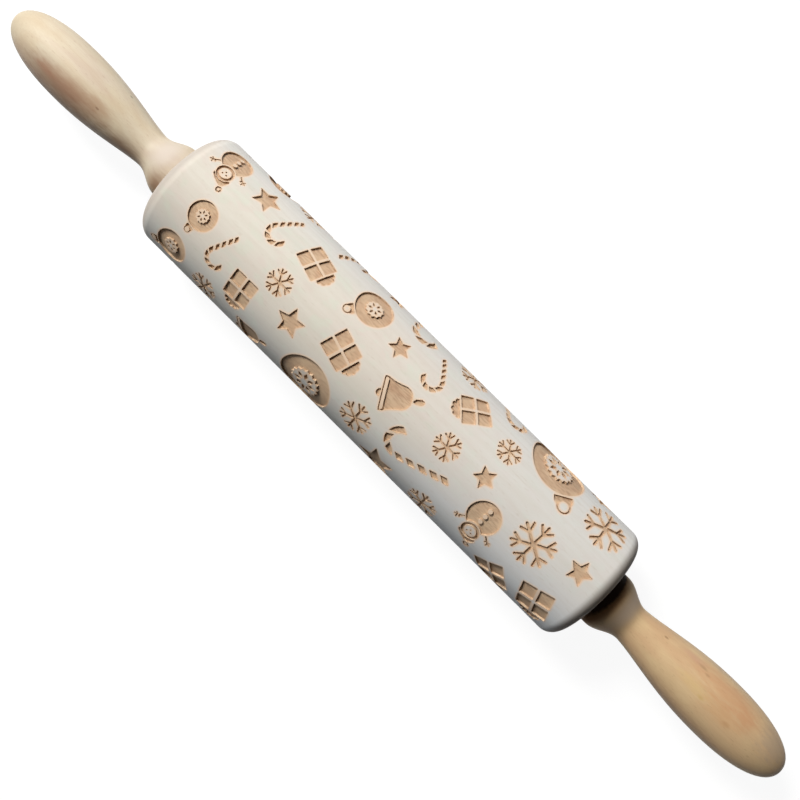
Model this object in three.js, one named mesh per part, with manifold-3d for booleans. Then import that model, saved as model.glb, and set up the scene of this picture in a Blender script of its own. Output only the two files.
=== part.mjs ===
// Embossed rolling pin: a turned wooden barrel with engraved winter motifs that spins on a steel axle
// between two turned wooden handles. Millimetres, +Z up, the axle along X, the origin at the middle of
// the pin on its axis, the barrel resting on its lowest flat.
import * as THREE from 'three';
import { mergeVertices } from 'three/addons/utils/BufferGeometryUtils.js';
import Module from 'manifold-3d';

const wasm = await Module();
wasm.setup();

// Driving dimensions.
const barrelRadius = 26.5;
const barrelLength = 232;
const barrelCornerRadius = 5.8;
const handleLength = 97.5;
const handleBaseRadius = 12.4;
const handleBaseFlatLength = 4.6;
const handleNeckRadius = 8.0;
const handleNeckDistance = 17.6;
const handleSwellRadius = 13.0;
const handleSwellDistance = 62.9;
const handleEdgeBevel = 0.5;
const handleSwellPower = 0.718;
const handleTipPower = 2.31;
const axleRadius = 4;
const axleEndRadius = 3;
const axleEndLength = 36;
const axleChamfer = 0.8;
const bushBodyRadius = 8;
const bushLength = 18;
const flangeRadius = 12;
const flangeThickness = 2.5;
const bushChamfer = 0.8;
const washerRadius = 9.5;
const washerThickness = 0.9;
const insertRadius = 5;
const insertLength = 14;
const insertBarbDepth = 0.4;
const barrelBoreRadius = 5.5;
const pocketDepth = 0.8;
const pocketOverrun = 0.5;
const pocketMargin = 0.6;
const fitGap = 0.3;

// Facet counts.
const barrelFacets = 32;
const turnedFacets = 20;
const smallFacets = 16;
const cornerSteps = 3;

// Positions that follow from the sizes above.
const barrelHalf = barrelLength / 2;
const handleStart = barrelHalf + fitGap + washerThickness + fitGap;
const overallLength = 2 * (handleStart + handleLength);

// Shares of the motif size, chosen by hand.
const starInnerShare = 0.47;
const flakeArmShares = [
  [0.112, -0.065], [0.55, -0.065], [0.90, -0.35], [0.73, -0.065],
  [1.02, 0], [0.73, 0.065], [0.90, 0.35], [0.55, 0.065],
];
const smallFlakeArmShares = [
  [0.16, -0.09], [0.88, -0.36], [0.76, -0.09], [1.02, 0], [0.76, 0.09], [0.88, 0.36],
];
const discSides = 16;
const rosetteOuterShare = 0.54;
const rosetteInnerShare = 0.42;
const rosettePoints = 6;
const capShares = [[1.07, -0.29], [1.32, -0.23], [1.60, -0.08], [1.60, 0.08], [1.32, 0.23], [1.07, 0.29]];
const boxHalfHeightShare = 0.53;
const boxHalfWidthShare = 0.5;
const ribbonHalfShare = 0.045;
const bowShares = [
  [0.59, -0.35], [0.73, -0.35], [0.77, -0.17], [0.92, 0], [0.77, 0.17], [0.73, 0.35], [0.59, 0.35],
];
const bellBodyShares = [[0, 0.50], [0.14, 0.50], [0.32, 0.41], [0.70, 0.34], [0.88, 0.18]];
const bellTipShare = 0.92;
const bellBarShares = [[0.04, 0.45], [0.13, 0.42]];
const bellCrownShares = [[0.97, 0], [1.10, -0.085], [1.33, -0.03], [1.28, 0.08], [1.08, 0.08]];
const clapperShares = [[-0.03, 0.12], [-0.14, 0.06], [-0.14, -0.06], [-0.03, -0.12]];
const headCentreShare = 1.24;
const headShare = 0.57;
const headSides = 10;
const neckGapShare = 0.09;
const faceShare = 0.37;
const faceSides = 8;
const buttonShares = [-0.55, -0.14, 0.27];
const buttonRadiusShare = 0.16;
const eyeShares = [0.10, 0.15, 0.07];
const noseShares = [[-0.04, -0.06], [-0.18, 0], [-0.04, 0.06]];
const hatShares = [
  [1.62, -0.55], [1.74, -0.56], [2.14, 0.18], [2.12, 0.36], [1.72, 0.60], [1.60, 0.56],
  [1.79, 0.33], [1.88, 0], [1.79, -0.33],
];
const pompomShares = [2.36, 0.40, 0.17];
const twigShares = [
  [0.68, 0.83], [0.91, 1.11], [0.87, 1.30], [1.03, 1.19], [1.21, 1.12], [0.98, 1.00], [0.74, 0.77],
];
const slimCane = { segments: 7, hookShare: 0.315, bandShare: 0.14, tailShare: 0.10 };
const stoutCane = { segments: 7, hookShare: 0.25, bandShare: 0.12, tailShare: 0 };
const stripeFillShare = 0.58;
const stripeSlantShare = 0.045;

// Motif rows: kind, share of the half barrel along the axle, degrees round the barrel from its top,
// share of the barrel radius for the size, degrees of turn of the motif on the surface.
const motifShares = [
  ['snowman', -0.866, 48.3, 0.245, -84],
  ['star', -0.703, 42, 0.234, 82],
  ['bauble', -0.803, -9.2, 0.230, -101],
  ['bauble', -0.838, -53.8, 0.275, -150],
  ['cane', -0.617, 29, 0.491, 240],
  ['cane', -0.710, -24.5, 0.460, 242],
  ['gift', -0.432, 31.5, 0.438, -18],
  ['gift', -0.167, -7.5, 0.442, -17],
  ['gift', -0.552, -33, 0.430, -90],
  ['gift', 0.284, 38, 0.438, -139],
  ['gift', 0.853, -49.5, 0.513, -71],
  ['gift', 0.696, -66, 0.491, -51],
  ['smallFlake', -0.466, -3.7, 0.208, 0],
  ['smallFlake', 0.298, -3, 0.215, 0],
  ['smallFlake', 0.453, 32, 0.204, 0],
  ['flake', 0.0155, -43.5, 0.272, 90],
  ['flake', 0.369, -64.5, 0.272, 90],
  ['flake', -0.672, -64.5, 0.242, 65],
  ['flake', 0.713, -10, 0.340, 90],
  ['flake', 0.852, 46, 0.362, 90],
  ['star', -0.352, -21.5, 0.238, 103],
  ['star', -0.037, 29, 0.185, 62],
  ['star', 0.454, 1, 0.181, 62],
  ['star', 0.879, 0.3, 0.200, 90],
  ['star', 0.161, -70.4, 0.340, 109],
  ['bell', 0.0224, -9, 0.502, 30],
  ['bell', -0.496, -72, 0.453, 22],
  ['bauble', -0.194, -58.7, 0.475, -60],
  ['bauble', 0.612, 62.6, 0.491, -55],
  ['bauble', -0.189, 39.5, 0.306, -130],
  ['mirroredCane', 0.142, 33.5, 0.475, -60],
  ['mirroredStoutCane', 0.201, -40.8, 0.868, 201],
  ['stoutCane', -0.0586, 65, 0.830, -92],
  ['stoutCane', -0.345, 90, 0.679, 66],
  ['smallFlake', 0.205, 72, 0.265, 53],
  ['snowman', 0.543, -24, 0.264, -90],
  ['cane', 0.371, 66, 0.528, -75],
  ['bauble', -0.728, 84, 0.302, 60],
  ['smallFlake', -0.582, 82, 0.264, 90],
  ['star', -0.479, 88, 0.181, 54],
  ['bell', -0.277, 93.5, 0.377, -115],
  ['star', -0.168, 80, 0.208, 90],
  ['star', 0.797, 82, 0.208, -90],
  ['star', -0.871, 90, 0.208, 20],
  ['gift', -0.586, 116, 0.470, 5],
  ['star', -0.310, 120, 0.240, 20],
  ['bauble', 0.086, 112, 0.340, 150],
  ['gift', 0.440, 110, 0.470, 160],
  ['bell', 0.871, 108, 0.470, 100],
  ['bell', -0.862, 127, 0.500, 85],
  ['bauble', -0.480, 158, 0.400, -60],
  ['star', -0.150, 134, 0.300, 50],
  ['gift', 0.240, 156, 0.490, 30],
  ['star', 0.660, 146, 0.300, 10],
  ['gift', -0.840, 191, 0.500, -110],
  ['bell', -0.130, 178, 0.520, -10],
  ['bauble', 0.520, 190, 0.400, 10],
  ['star', 0.870, 168, 0.280, 40],
  ['star', -0.520, 204, 0.280, 15],
  ['gift', 0.140, 208, 0.490, 80],
  ['bell', 0.820, -140, 0.500, -100],
  ['bauble', -0.790, -124, 0.380, 20],
  ['smallFlake', -0.300, -124, 0.300, 90],
  ['gift', 0.440, -118, 0.480, -75],
  ['star', -0.480, -102, 0.220, 50],
  ['star', 0.090, -112, 0.280, 20],
  ['star', -0.819, -90, 0.200, 30],
  ['gift', 0.879, -98, 0.440, 165],
];

// A material with its own colour and finish.
function finish(color, roughness, metalness) {
  return new THREE.MeshStandardMaterial({ color, roughness, metalness });
}

// A named mesh.
function piece(name, geometry, material) {
  const mesh = new THREE.Mesh(geometry, material);
  mesh.name = name;
  return mesh;
}

// A body turned about the X axle from [radius, position] pairs.
function turned(profile, facets) {
  const points = profile.map(([radius, along]) => new THREE.Vector2(radius, along));
  const geometry = new THREE.LatheGeometry(points, facets, Math.PI / facets);
  geometry.rotateZ(-Math.PI / 2);
  return geometry;
}

// The same geometry as a solid for adding and subtracting.
function solid(geometry) {
  const bare = geometry.clone();
  bare.deleteAttribute('normal');
  bare.deleteAttribute('uv');
  const whole = mergeVertices(bare);
  return new wasm.Manifold(new wasm.Mesh({
    numProp: 3,
    vertProperties: new Float32Array(whole.attributes.position.array),
    triVerts: new Uint32Array(whole.index.array),
  }));
}

// A solid back as plain flat-shaded geometry.
function plain(body) {
  const mesh = body.getMesh();
  const geometry = new THREE.BufferGeometry();
  geometry.setAttribute('position', new THREE.BufferAttribute(new Float32Array(mesh.vertProperties), 3));
  geometry.setIndex(new THREE.BufferAttribute(new Uint32Array(mesh.triVerts), 1));
  const flat = geometry.toNonIndexed();
  flat.computeVertexNormals();
  return flat;
}

// The right-hand piece turned end for end to make the left-hand one.
function otherEnd(geometry) {
  const copy = geometry.clone();
  copy.rotateZ(Math.PI);
  return copy;
}

// Points round a circle in a motif's own plane.
function circleShares(centre, side, radius, count) {
  const points = [];
  for (let i = 0; i < count; i += 1) {
    const angle = 2 * Math.PI * i / count;
    points.push([centre + radius * Math.cos(angle), side + radius * Math.sin(angle)]);
  }
  return points;
}

// A point turned about the motif's centre.
function turnedShare([along, side], angle) {
  const cosine = Math.cos(angle);
  const sine = Math.sin(angle);
  return [along * cosine - side * sine, along * sine + side * cosine];
}

// A mirrored copy of an outline, in the same winding.
function mirrored(points) {
  return points.map(([along, side]) => [along, -side]).reverse();
}

// Five-pointed star.
function starOutlines() {
  const points = [];
  for (let i = 0; i < 10; i += 1) {
    const reach = i % 2 === 0 ? 1 : starInnerShare;
    points.push(turnedShare([reach, 0], Math.PI * i / 5));
  }
  return [{ outline: points, islands: [] }];
}

// Six-armed snowflake, one pair of side twigs on each arm.
function flakeOutlines(armShares) {
  const points = [];
  for (let i = 0; i < 6; i += 1) {
    armShares.forEach((share) => points.push(turnedShare(share, Math.PI * i / 3)));
  }
  return [{ outline: points, islands: [] }];
}

// Round bauble with a raised rosette, and its cap.
function baubleOutlines() {
  const rosette = [];
  for (let i = 0; i < 2 * rosettePoints; i += 1) {
    const reach = i % 2 === 0 ? rosetteOuterShare : rosetteInnerShare;
    rosette.push(turnedShare([reach, 0], Math.PI * i / rosettePoints));
  }
  return [
    { outline: circleShares(0, 0, 1, discSides), islands: [rosette] },
    { outline: capShares, islands: [] },
  ];
}

// Parcel: four panes round a raised ribbon cross, and a scalloped bow.
function giftOutlines() {
  const outlines = [];
  [-1, 1].forEach((alongSign) => [-1, 1].forEach((sideSign) => {
    const along = [ribbonHalfShare * alongSign, boxHalfHeightShare * alongSign].sort((a, b) => a - b);
    const side = [ribbonHalfShare * sideSign, boxHalfWidthShare * sideSign].sort((a, b) => a - b);
    outlines.push({
      outline: [[along[0], side[0]], [along[1], side[0]], [along[1], side[1]], [along[0], side[1]]],
      islands: [],
    });
  }));
  outlines.push({ outline: bowShares, islands: [] });
  return outlines;
}

// Bell with a raised rim bar, a crown drop and a clapper.
function bellOutlines() {
  const half = bellBodyShares;
  const body = [...half.map(([along, side]) => [along, -side]), [bellTipShare, 0], ...[...half].reverse()];
  const bar = [...bellBarShares.map(([along, side]) => [along, -side]), ...[...bellBarShares].reverse()];
  return [
    { outline: body, islands: [bar] },
    { outline: bellCrownShares, islands: [] },
    { outline: clapperShares, islands: [] },
  ];
}

// Round snowman body, cut back round the head, with three raised buttons.
function snowmanBody() {
  const reach = headShare + neckGapShare;
  const along = (1 - reach * reach + headCentreShare * headCentreShare) / (2 * headCentreShare);
  const side = Math.sqrt(1 - along * along);
  const open = Math.atan2(side, along);
  const points = [];
  for (let i = 0; i <= 13; i += 1) {
    points.push(turnedShare([1, 0], open + (2 * Math.PI - 2 * open) * i / 13));
  }
  const lower = 2 * Math.PI - Math.atan2(side, along - headCentreShare);
  const upper = Math.atan2(side, along - headCentreShare);
  for (let i = 1; i < 3; i += 1) {
    const angle = lower + (upper - lower) * i / 3;
    points.push([headCentreShare + reach * Math.cos(angle), reach * Math.sin(angle)]);
  }
  const buttons = buttonShares.map((at) => circleShares(at, 0, buttonRadiusShare, 4));
  return { outline: points, islands: buttons };
}

// Snowman: body, ringed face with two eyes and a nose, hat, pompom and twig arms.
function snowmanOutlines() {
  const outlines = [snowmanBody()];
  outlines.push({
    outline: circleShares(headCentreShare, 0, headShare, headSides),
    islands: [circleShares(headCentreShare, 0, faceShare, faceSides)],
  });
  [-1, 1].forEach((sign) => {
    const [up, aside, radius] = eyeShares;
    outlines.push({ outline: circleShares(headCentreShare + up, sign * aside, radius, 3), islands: [] });
  });
  const nose = noseShares.map(([up, aside]) => [headCentreShare + up, aside]).reverse();
  outlines.push({ outline: nose, islands: [] });
  outlines.push({ outline: hatShares, islands: [] });
  outlines.push({ outline: circleShares(...pompomShares, 5), islands: [] });
  outlines.push({ outline: twigShares, islands: [] });
  outlines.push({ outline: mirrored(twigShares), islands: [] });
  return outlines;
}

// A point of a cane: travel along the shaft and round the hook, and offset across the band.
function canePoint(travel, offset, hook) {
  if (travel <= 1) {
    return [travel - 1, offset];
  }
  const angle = (travel - 1) / hook;
  if (angle > Math.PI) {
    return [-(travel - 1 - Math.PI * hook), 2 * hook - offset];
  }
  return [(hook - offset) * Math.sin(angle), hook - (hook - offset) * Math.cos(angle)];
}

// Candy cane as a row of slanted stripes.
function caneOutlines(style) {
  const outlines = [];
  const total = 1 + Math.PI * style.hookShare + style.tailShare;
  const step = total / style.segments;
  const half = style.bandShare / 2;
  const near = (travel) => canePoint(Math.max(0, travel - stripeSlantShare), -half, style.hookShare);
  const far = (travel) => canePoint(travel + stripeSlantShare, half, style.hookShare);
  for (let i = 0; i < style.segments; i += 1) {
    const start = i * step + (i === 0 ? step / 10 : 0);
    const end = i === style.segments - 1 ? total : start + stripeFillShare * step;
    const outline = [near(start), near(end), far(end), far(start)];
    if (end > 1) {
      outline.splice(1, 0, near((start + end) / 2));
    }
    outlines.push({ outline, islands: [] });
  }
  return outlines;
}

// Outlines turned over to the other hand.
function otherHand(outlines) {
  return outlines.map(({ outline, islands }) => ({
    outline: mirrored(outline),
    islands: islands.map(mirrored),
  }));
}

const motifMakers = {
  star: starOutlines,
  flake: () => flakeOutlines(flakeArmShares),
  smallFlake: () => flakeOutlines(smallFlakeArmShares),
  bauble: baubleOutlines,
  gift: giftOutlines,
  bell: bellOutlines,
  snowman: snowmanOutlines,
  cane: () => caneOutlines(slimCane),
  mirroredCane: () => otherHand(caneOutlines(slimCane)),
  stoutCane: () => caneOutlines(stoutCane),
  mirroredStoutCane: () => otherHand(caneOutlines(stoutCane)),
};

// One motif as flat shapes on the unrolled surface: X along the axle, Y round the barrel.
function motifShapes([kind, alongShare, degrees, sizeShare, turnDegrees]) {
  const size = sizeShare * barrelRadius;
  const turn = turnDegrees * Math.PI / 180;
  const round = degrees * Math.PI / 180 * barrelRadius;
  const place = (share) => {
    const [along, side] = turnedShare(share, turn);
    return new THREE.Vector2(alongShare * barrelHalf + along * size, round + side * size);
  };
  return motifMakers[kind]().map(({ outline, islands }) => {
    const shape = new THREE.Shape(outline.map(place));
    islands.forEach((island) => shape.holes.push(new THREE.Path(island.map(place))));
    return shape;
  });
}

// A point over one facet's strip of the unrolled plane, laid on that facet. Z is the height over the
// barrel's surface.
function onFacet(x, y, z, facet) {
  const width = 2 * Math.PI / barrelFacets;
  const share = y / (width * barrelRadius) + 0.5 - facet;
  const start = (facet - 0.5) * width;
  const end = start + width;
  const radius = barrelRadius + z;
  return [
    x,
    radius * (Math.sin(start) * (1 - share) + Math.sin(end) * share),
    radius * (Math.cos(start) * (1 - share) + Math.cos(end) * share),
  ];
}

// The flat cutters of every motif, listed for each facet that they reach. They stop a margin before the
// barrel's rounded corners.
function cuttersByFacet() {
  const arc = 2 * Math.PI / barrelFacets * barrelRadius;
  const lists = Array.from({ length: barrelFacets }, () => []);
  const depth = pocketDepth + pocketOverrun;
  const reach = barrelHalf - barrelCornerRadius - pocketMargin;
  const straight = solid(new THREE.BoxGeometry(2 * reach, 4 * Math.PI * barrelRadius, 4 * depth));
  motifShares.forEach((row) => {
    const geometry = new THREE.ExtrudeGeometry(motifShapes(row), { depth, bevelEnabled: false });
    geometry.translate(0, 0, -pocketDepth);
    geometry.computeBoundingBox();
    const first = Math.floor(geometry.boundingBox.min.y / arc + 0.5);
    const last = Math.floor(geometry.boundingBox.max.y / arc + 0.5);
    for (let facet = first; facet <= last; facet += 1) {
      const home = ((facet % barrelFacets) + barrelFacets) % barrelFacets;
      const shifted = geometry.clone();
      shifted.translate(0, (home - facet) * arc, 0);
      lists[home].push(solid(shifted).intersect(straight));
    }
  });
  return lists;
}

// One facet of the barrel's side with its pockets, as loose triangles laid in place.
function facetTriangles(facet, cutters) {
  const arc = 2 * Math.PI / barrelFacets * barrelRadius;
  const half = barrelHalf - barrelCornerRadius;
  const thickness = 2 * pocketDepth;
  const slab = new THREE.BoxGeometry(2 * half, arc, thickness);
  slab.translate(0, facet * arc, -thickness / 2);
  let block = solid(slab);
  cutters.forEach((cutter) => {
    block = block.subtract(cutter);
  });
  const { vertProperties, triVerts } = block.getMesh();
  const near = pocketDepth / 1000;
  const rims = [
    (point) => Math.abs(point[1] - (facet - 0.5) * arc) < near,
    (point) => Math.abs(point[1] - (facet + 0.5) * arc) < near,
    (point) => Math.abs(point[0]) > half - near,
    (point) => point[2] < near - thickness,
  ];
  const laid = [];
  for (let i = 0; i < triVerts.length; i += 3) {
    const corners = [0, 1, 2].map((k) => {
      const at = 3 * triVerts[i + k];
      return Array.from(vertProperties.slice(at, at + 3));
    });
    if (!rims.some((onRim) => corners.every(onRim))) {
      corners.forEach(([x, y, z]) => laid.push(...onFacet(x, y, z, facet)));
    }
  }
  return laid;
}

// Triangles split wherever a neighbour's corner lies part way along one of their open edges.
function stitched(triangles, points, reach) {
  const edges = new Set(triangles.flatMap(([a, b, c]) => [[a, b].join(), [b, c].join(), [c, a].join()]));
  const isOpen = (a, b) => !edges.has([b, a].join());
  const open = new Set();
  triangles.forEach(([a, b, c]) => [[a, b], [b, c], [c, a]].forEach(([from, to]) => {
    if (isOpen(from, to)) {
      open.add(from).add(to);
    }
  }));
  const result = [];
  const waiting = [...triangles];
  while (waiting.length > 0) {
    const [a, b, c] = waiting.pop();
    let split = false;
    [[a, b, c], [b, c, a], [c, a, b]].forEach(([from, to, apex]) => {
      if (split || !isOpen(from, to)) {
        return;
      }
      const line = new THREE.Line3(points[from], points[to]);
      const between = [...open].find((k) => {
        const foot = line.closestPointToPoint(points[k], true, new THREE.Vector3());
        return k !== from && k !== to && k !== apex && foot.distanceTo(points[k]) < reach;
      });
      if (between !== undefined) {
        waiting.push([from, between, apex], [between, to, apex]);
        split = true;
      }
    });
    if (!split) {
      result.push([a, b, c]);
    }
  }
  return result;
}

// Loose triangles with the vertices that meet made one.
function welded(positions) {
  const cell = pocketDepth / 500;
  const cells = new Map();
  const points = [];
  const index = [];
  for (let i = 0; i < positions.length; i += 3) {
    const point = new THREE.Vector3(positions[i], positions[i + 1], positions[i + 2]);
    const home = point.toArray().map((value) => Math.round(value / cell));
    let found = -1;
    for (let n = 0; n < 27 && found < 0; n += 1) {
      const step = [n % 3 - 1, Math.floor(n / 3) % 3 - 1, Math.floor(n / 9) - 1];
      const key = home.map((value, k) => value + step[k]).join();
      found = (cells.get(key) || []).find((k) => points[k].distanceTo(point) < cell) ?? -1;
    }
    if (found < 0) {
      found = points.push(point) - 1;
      const key = home.join();
      cells.set(key, [...(cells.get(key) || []), found]);
    }
    index.push(found);
  }
  const kept = [];
  for (let i = 0; i < index.length; i += 3) {
    const [a, b, c] = index.slice(i, i + 3);
    if (a !== b && b !== c && c !== a) {
      kept.push([a, b, c]);
    }
  }
  const geometry = new THREE.BufferGeometry().setFromPoints(points);
  geometry.setIndex(stitched(kept, points, cell).flat());
  return geometry;
}

// Both rounded ends of the barrel as loose triangles, each without the flat face towards the middle.
function endTriangles() {
  const start = barrelHalf - barrelCornerRadius;
  const profile = [[0, start]];
  for (let i = 0; i <= cornerSteps; i += 1) {
    const angle = Math.PI / 2 * i / cornerSteps;
    const radius = barrelRadius - barrelCornerRadius * (1 - Math.cos(angle));
    profile.push([radius, start + barrelCornerRadius * Math.sin(angle)]);
  }
  profile.push([0, barrelHalf]);
  const cap = turned(profile, barrelFacets);
  const near = barrelCornerRadius / 1000;
  return [cap, otherEnd(cap)].flatMap((end) => {
    const { array } = end.toNonIndexed().attributes.position;
    const kept = [];
    for (let i = 0; i < array.length; i += 9) {
      const corners = Array.from(array.slice(i, i + 9));
      if ([0, 3, 6].some((k) => Math.abs(corners[k]) > start + near)) {
        kept.push(...corners);
      }
    }
    return kept;
  });
}

// The engraved outside of the barrel.
function barrelBlank() {
  const positions = endTriangles();
  cuttersByFacet().forEach((cutters, facet) => {
    facetTriangles(facet, cutters).forEach((value) => positions.push(value));
  });
  return solid(welded(positions));
}

// The long bore with its two seats for the bushes.
function barrelBore() {
  const seatFloor = barrelHalf - flangeThickness - fitGap;
  const bushFloor = barrelHalf - bushLength - fitGap;
  const beyond = barrelHalf + pocketOverrun;
  const side = [
    [barrelBoreRadius, bushFloor],
    [bushBodyRadius + fitGap, bushFloor],
    [bushBodyRadius + fitGap, seatFloor],
    [flangeRadius + fitGap, seatFloor],
    [flangeRadius + fitGap, beyond],
  ];
  const left = [...side].reverse().map(([radius, along]) => [radius, -along]);
  return solid(turned([[0, -beyond], ...left, ...side, [0, beyond]], smallFacets));
}

// The barrel: turned, engraved and bored.
function barrel() {
  return piece('barrel', plain(barrelBlank().subtract(barrelBore())), finish(0xd9cdb8, 0.62, 0));
}

// Flanged bush at the right end, its flange level with the barrel's end.
function bushGeometry() {
  const inner = barrelHalf - bushLength;
  const seat = barrelHalf - flangeThickness;
  return turned([
    [axleRadius + fitGap, inner],
    [bushBodyRadius - bushChamfer, inner],
    [bushBodyRadius, inner + bushChamfer],
    [bushBodyRadius, seat],
    [flangeRadius, seat],
    [flangeRadius, barrelHalf - bushChamfer / 2],
    [flangeRadius - bushChamfer / 2, barrelHalf],
    [axleRadius + fitGap, barrelHalf],
    [axleRadius + fitGap, inner],
  ], smallFacets);
}

// Thin washer between the bush and the handle.
function washerGeometry() {
  const start = barrelHalf + fitGap;
  const end = start + washerThickness;
  return turned([
    [axleRadius + fitGap, start],
    [washerRadius, start],
    [washerRadius, end],
    [axleRadius + fitGap, end],
    [axleRadius + fitGap, start],
  ], smallFacets);
}

// Steel axle with a thinner screwed end for each handle.
function axleGeometry() {
  const shoulder = handleStart - fitGap;
  const tip = handleStart + axleEndLength;
  const half = [
    [axleRadius, shoulder],
    [axleEndRadius, shoulder],
    [axleEndRadius, tip - axleChamfer],
    [axleEndRadius - axleChamfer, tip],
    [0, tip],
  ];
  const left = [...half].reverse().map(([radius, along]) => [radius, -along]);
  return turned([...left, ...half], smallFacets);
}

// Brass insert with barbs, set in the mouth of the handle's bore.
function insertGeometry() {
  const bore = axleEndRadius + fitGap;
  const valley = insertRadius - insertBarbDepth;
  const pitch = insertLength / 4;
  const profile = [[bore, handleStart]];
  for (let i = 0; i < 4; i += 1) {
    profile.push([insertRadius, handleStart + i * pitch]);
    profile.push([valley, handleStart + (i + 1) * pitch]);
  }
  profile.push([bore, handleStart + insertLength]);
  profile.push([bore, handleStart]);
  return turned(profile, smallFacets);
}

// Radius of the turned handle at a distance from its base.
function handleRadiusAt(distance) {
  if (distance <= handleBaseFlatLength) {
    return handleBaseRadius;
  }
  if (distance <= handleNeckDistance) {
    const share = (distance - handleBaseFlatLength) / (handleNeckDistance - handleBaseFlatLength);
    return handleBaseRadius + (handleNeckRadius - handleBaseRadius) * (1 - Math.cos(Math.PI * share)) / 2;
  }
  if (distance <= handleSwellDistance) {
    const share = (distance - handleNeckDistance) / (handleSwellDistance - handleNeckDistance);
    const rise = (1 - Math.cos(Math.PI * share ** handleSwellPower)) / 2;
    return handleNeckRadius + (handleSwellRadius - handleNeckRadius) * rise;
  }
  const share = (distance - handleSwellDistance) / (handleLength - handleSwellDistance);
  return handleSwellRadius * Math.max(0, 1 - share ** handleTipPower) ** (1 / handleTipPower);
}

// The right-hand handle: stepped bore from the base, then the turned outside to the tip.
function handleGeometry() {
  const boreEnd = handleStart + axleEndLength + fitGap;
  const seatEnd = handleStart + insertLength + fitGap;
  const profile = [
    [0, boreEnd],
    [axleEndRadius + fitGap, boreEnd],
    [axleEndRadius + fitGap, seatEnd],
    [insertRadius + fitGap, seatEnd],
    [insertRadius + fitGap, handleStart],
    [handleBaseRadius - handleEdgeBevel, handleStart],
    [handleBaseRadius, handleStart + handleEdgeBevel],
    [handleBaseRadius, handleStart + handleBaseFlatLength],
  ];
  [
    [handleBaseFlatLength, handleNeckDistance, 5],
    [handleNeckDistance, handleSwellDistance, 6],
  ].forEach(([from, to, steps]) => {
    for (let i = 1; i <= steps; i += 1) {
      const distance = from + (to - from) * i / steps;
      profile.push([handleRadiusAt(distance), handleStart + distance]);
    }
  });
  const tipSpan = handleLength - handleSwellDistance;
  for (let i = 1; i <= 7; i += 1) {
    const distance = handleSwellDistance + tipSpan * Math.sin(Math.PI / 2 * i / 8);
    profile.push([handleRadiusAt(distance), handleStart + distance]);
  }
  profile.push([0, overallLength / 2]);
  return turned(profile, turnedFacets);
}

const group = new THREE.Group();
const bush = bushGeometry();
const washer = washerGeometry();
const insert = insertGeometry();
const handle = handleGeometry();
group.add(barrel());
group.add(piece('bush_right', bush, finish(0xe9e6dc, 0.45, 0)));
group.add(piece('bush_left', otherEnd(bush), finish(0xe9e6dc, 0.45, 0)));
group.add(piece('thrust_washer_right', washer, finish(0xb9bcc0, 0.35, 1)));
group.add(piece('thrust_washer_left', otherEnd(washer), finish(0xb9bcc0, 0.35, 1)));
group.add(piece('axle_rod', axleGeometry(), finish(0xa9adb2, 0.3, 1)));
group.add(piece('insert_right', insert, finish(0xb98f4a, 0.35, 1)));
group.add(piece('insert_left', otherEnd(insert), finish(0xb98f4a, 0.35, 1)));
group.add(piece('handle_right', handle, finish(0xd8b98c, 0.55, 0)));
group.add(piece('handle_left', otherEnd(handle), finish(0xd8b98c, 0.55, 0)));

export default group;
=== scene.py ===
"""Looks of an embossed rolling pin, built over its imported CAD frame. Metres, +Z up, the axle along X.

Sizes in the classes are millimetres, as on a maker's drawing, and MM turns them to metres.
"""

import logging
import math
from dataclasses import dataclass, replace
from enum import Enum
from functools import partial

import bmesh
import bpy
from mathutils import Matrix, Vector
from mathutils.geometry import delaunay_2d_cdt


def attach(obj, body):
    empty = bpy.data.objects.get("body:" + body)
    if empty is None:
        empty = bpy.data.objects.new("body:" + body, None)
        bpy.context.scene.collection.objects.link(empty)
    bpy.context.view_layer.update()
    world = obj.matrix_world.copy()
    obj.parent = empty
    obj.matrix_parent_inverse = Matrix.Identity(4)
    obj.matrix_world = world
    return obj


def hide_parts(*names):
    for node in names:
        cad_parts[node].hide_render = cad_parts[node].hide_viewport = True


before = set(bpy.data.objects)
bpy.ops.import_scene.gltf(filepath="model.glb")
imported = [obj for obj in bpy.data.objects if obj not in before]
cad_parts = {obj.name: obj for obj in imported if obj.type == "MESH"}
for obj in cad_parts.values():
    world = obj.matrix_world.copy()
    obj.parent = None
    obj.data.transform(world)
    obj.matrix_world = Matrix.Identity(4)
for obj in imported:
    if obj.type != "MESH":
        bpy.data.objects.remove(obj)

MM = 0.001
LOG = logging.getLogger("rolling_pin")

Point = tuple[float, float]
Outline = list[Point]
Socket = bpy.types.NodeSocket

# Sockets of the Mix node when it mixes colours.
MIX_FACTOR, MIX_A, MIX_B, MIX_RESULT = 0, 6, 7, 2

# Typical refractive indices.
WOOD_IOR = 1.5
NYLON_IOR = 1.53

# In millimetres: points that are nearer than this are one point, and shorter edges are slivers.
SAME_FLAT_POINT = 1e-4
SAME_POINT = 0.0003
SLIVER = 0.0001


def linear(code: str) -> tuple[float, float, float, float]:
    """Turns an sRGB hex colour to linear.

    Args:
        code: The colour as #rrggbb.

    Returns:
        Red, green, blue and alpha for a shader socket.
    """
    parts = [int(code[i:i + 2], 16) / 255 for i in (1, 3, 5)]
    return (*(p / 12.92 if p <= 0.04045 else ((p + 0.055) / 1.055) ** 2.4 for p in parts), 1.0)


def add(tree: bpy.types.NodeTree, kind: str, links: dict | None = None, **settings) -> bpy.types.Node:
    """Adds one node.

    Args:
        tree: The node tree that takes it.
        kind: Blender's name of the node type.
        links: Input socket (name or number) to another node's output socket, or to a plain value.
        settings: The node's own properties.

    Returns:
        The new node.
    """
    node = tree.nodes.new(kind)
    for name, value in settings.items():
        setattr(node, name, value)
    for socket, source in (links or {}).items():
        if isinstance(source, Socket):
            tree.links.new(source, node.inputs[socket])
        else:
            node.inputs[socket].default_value = source
    return node


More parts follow.
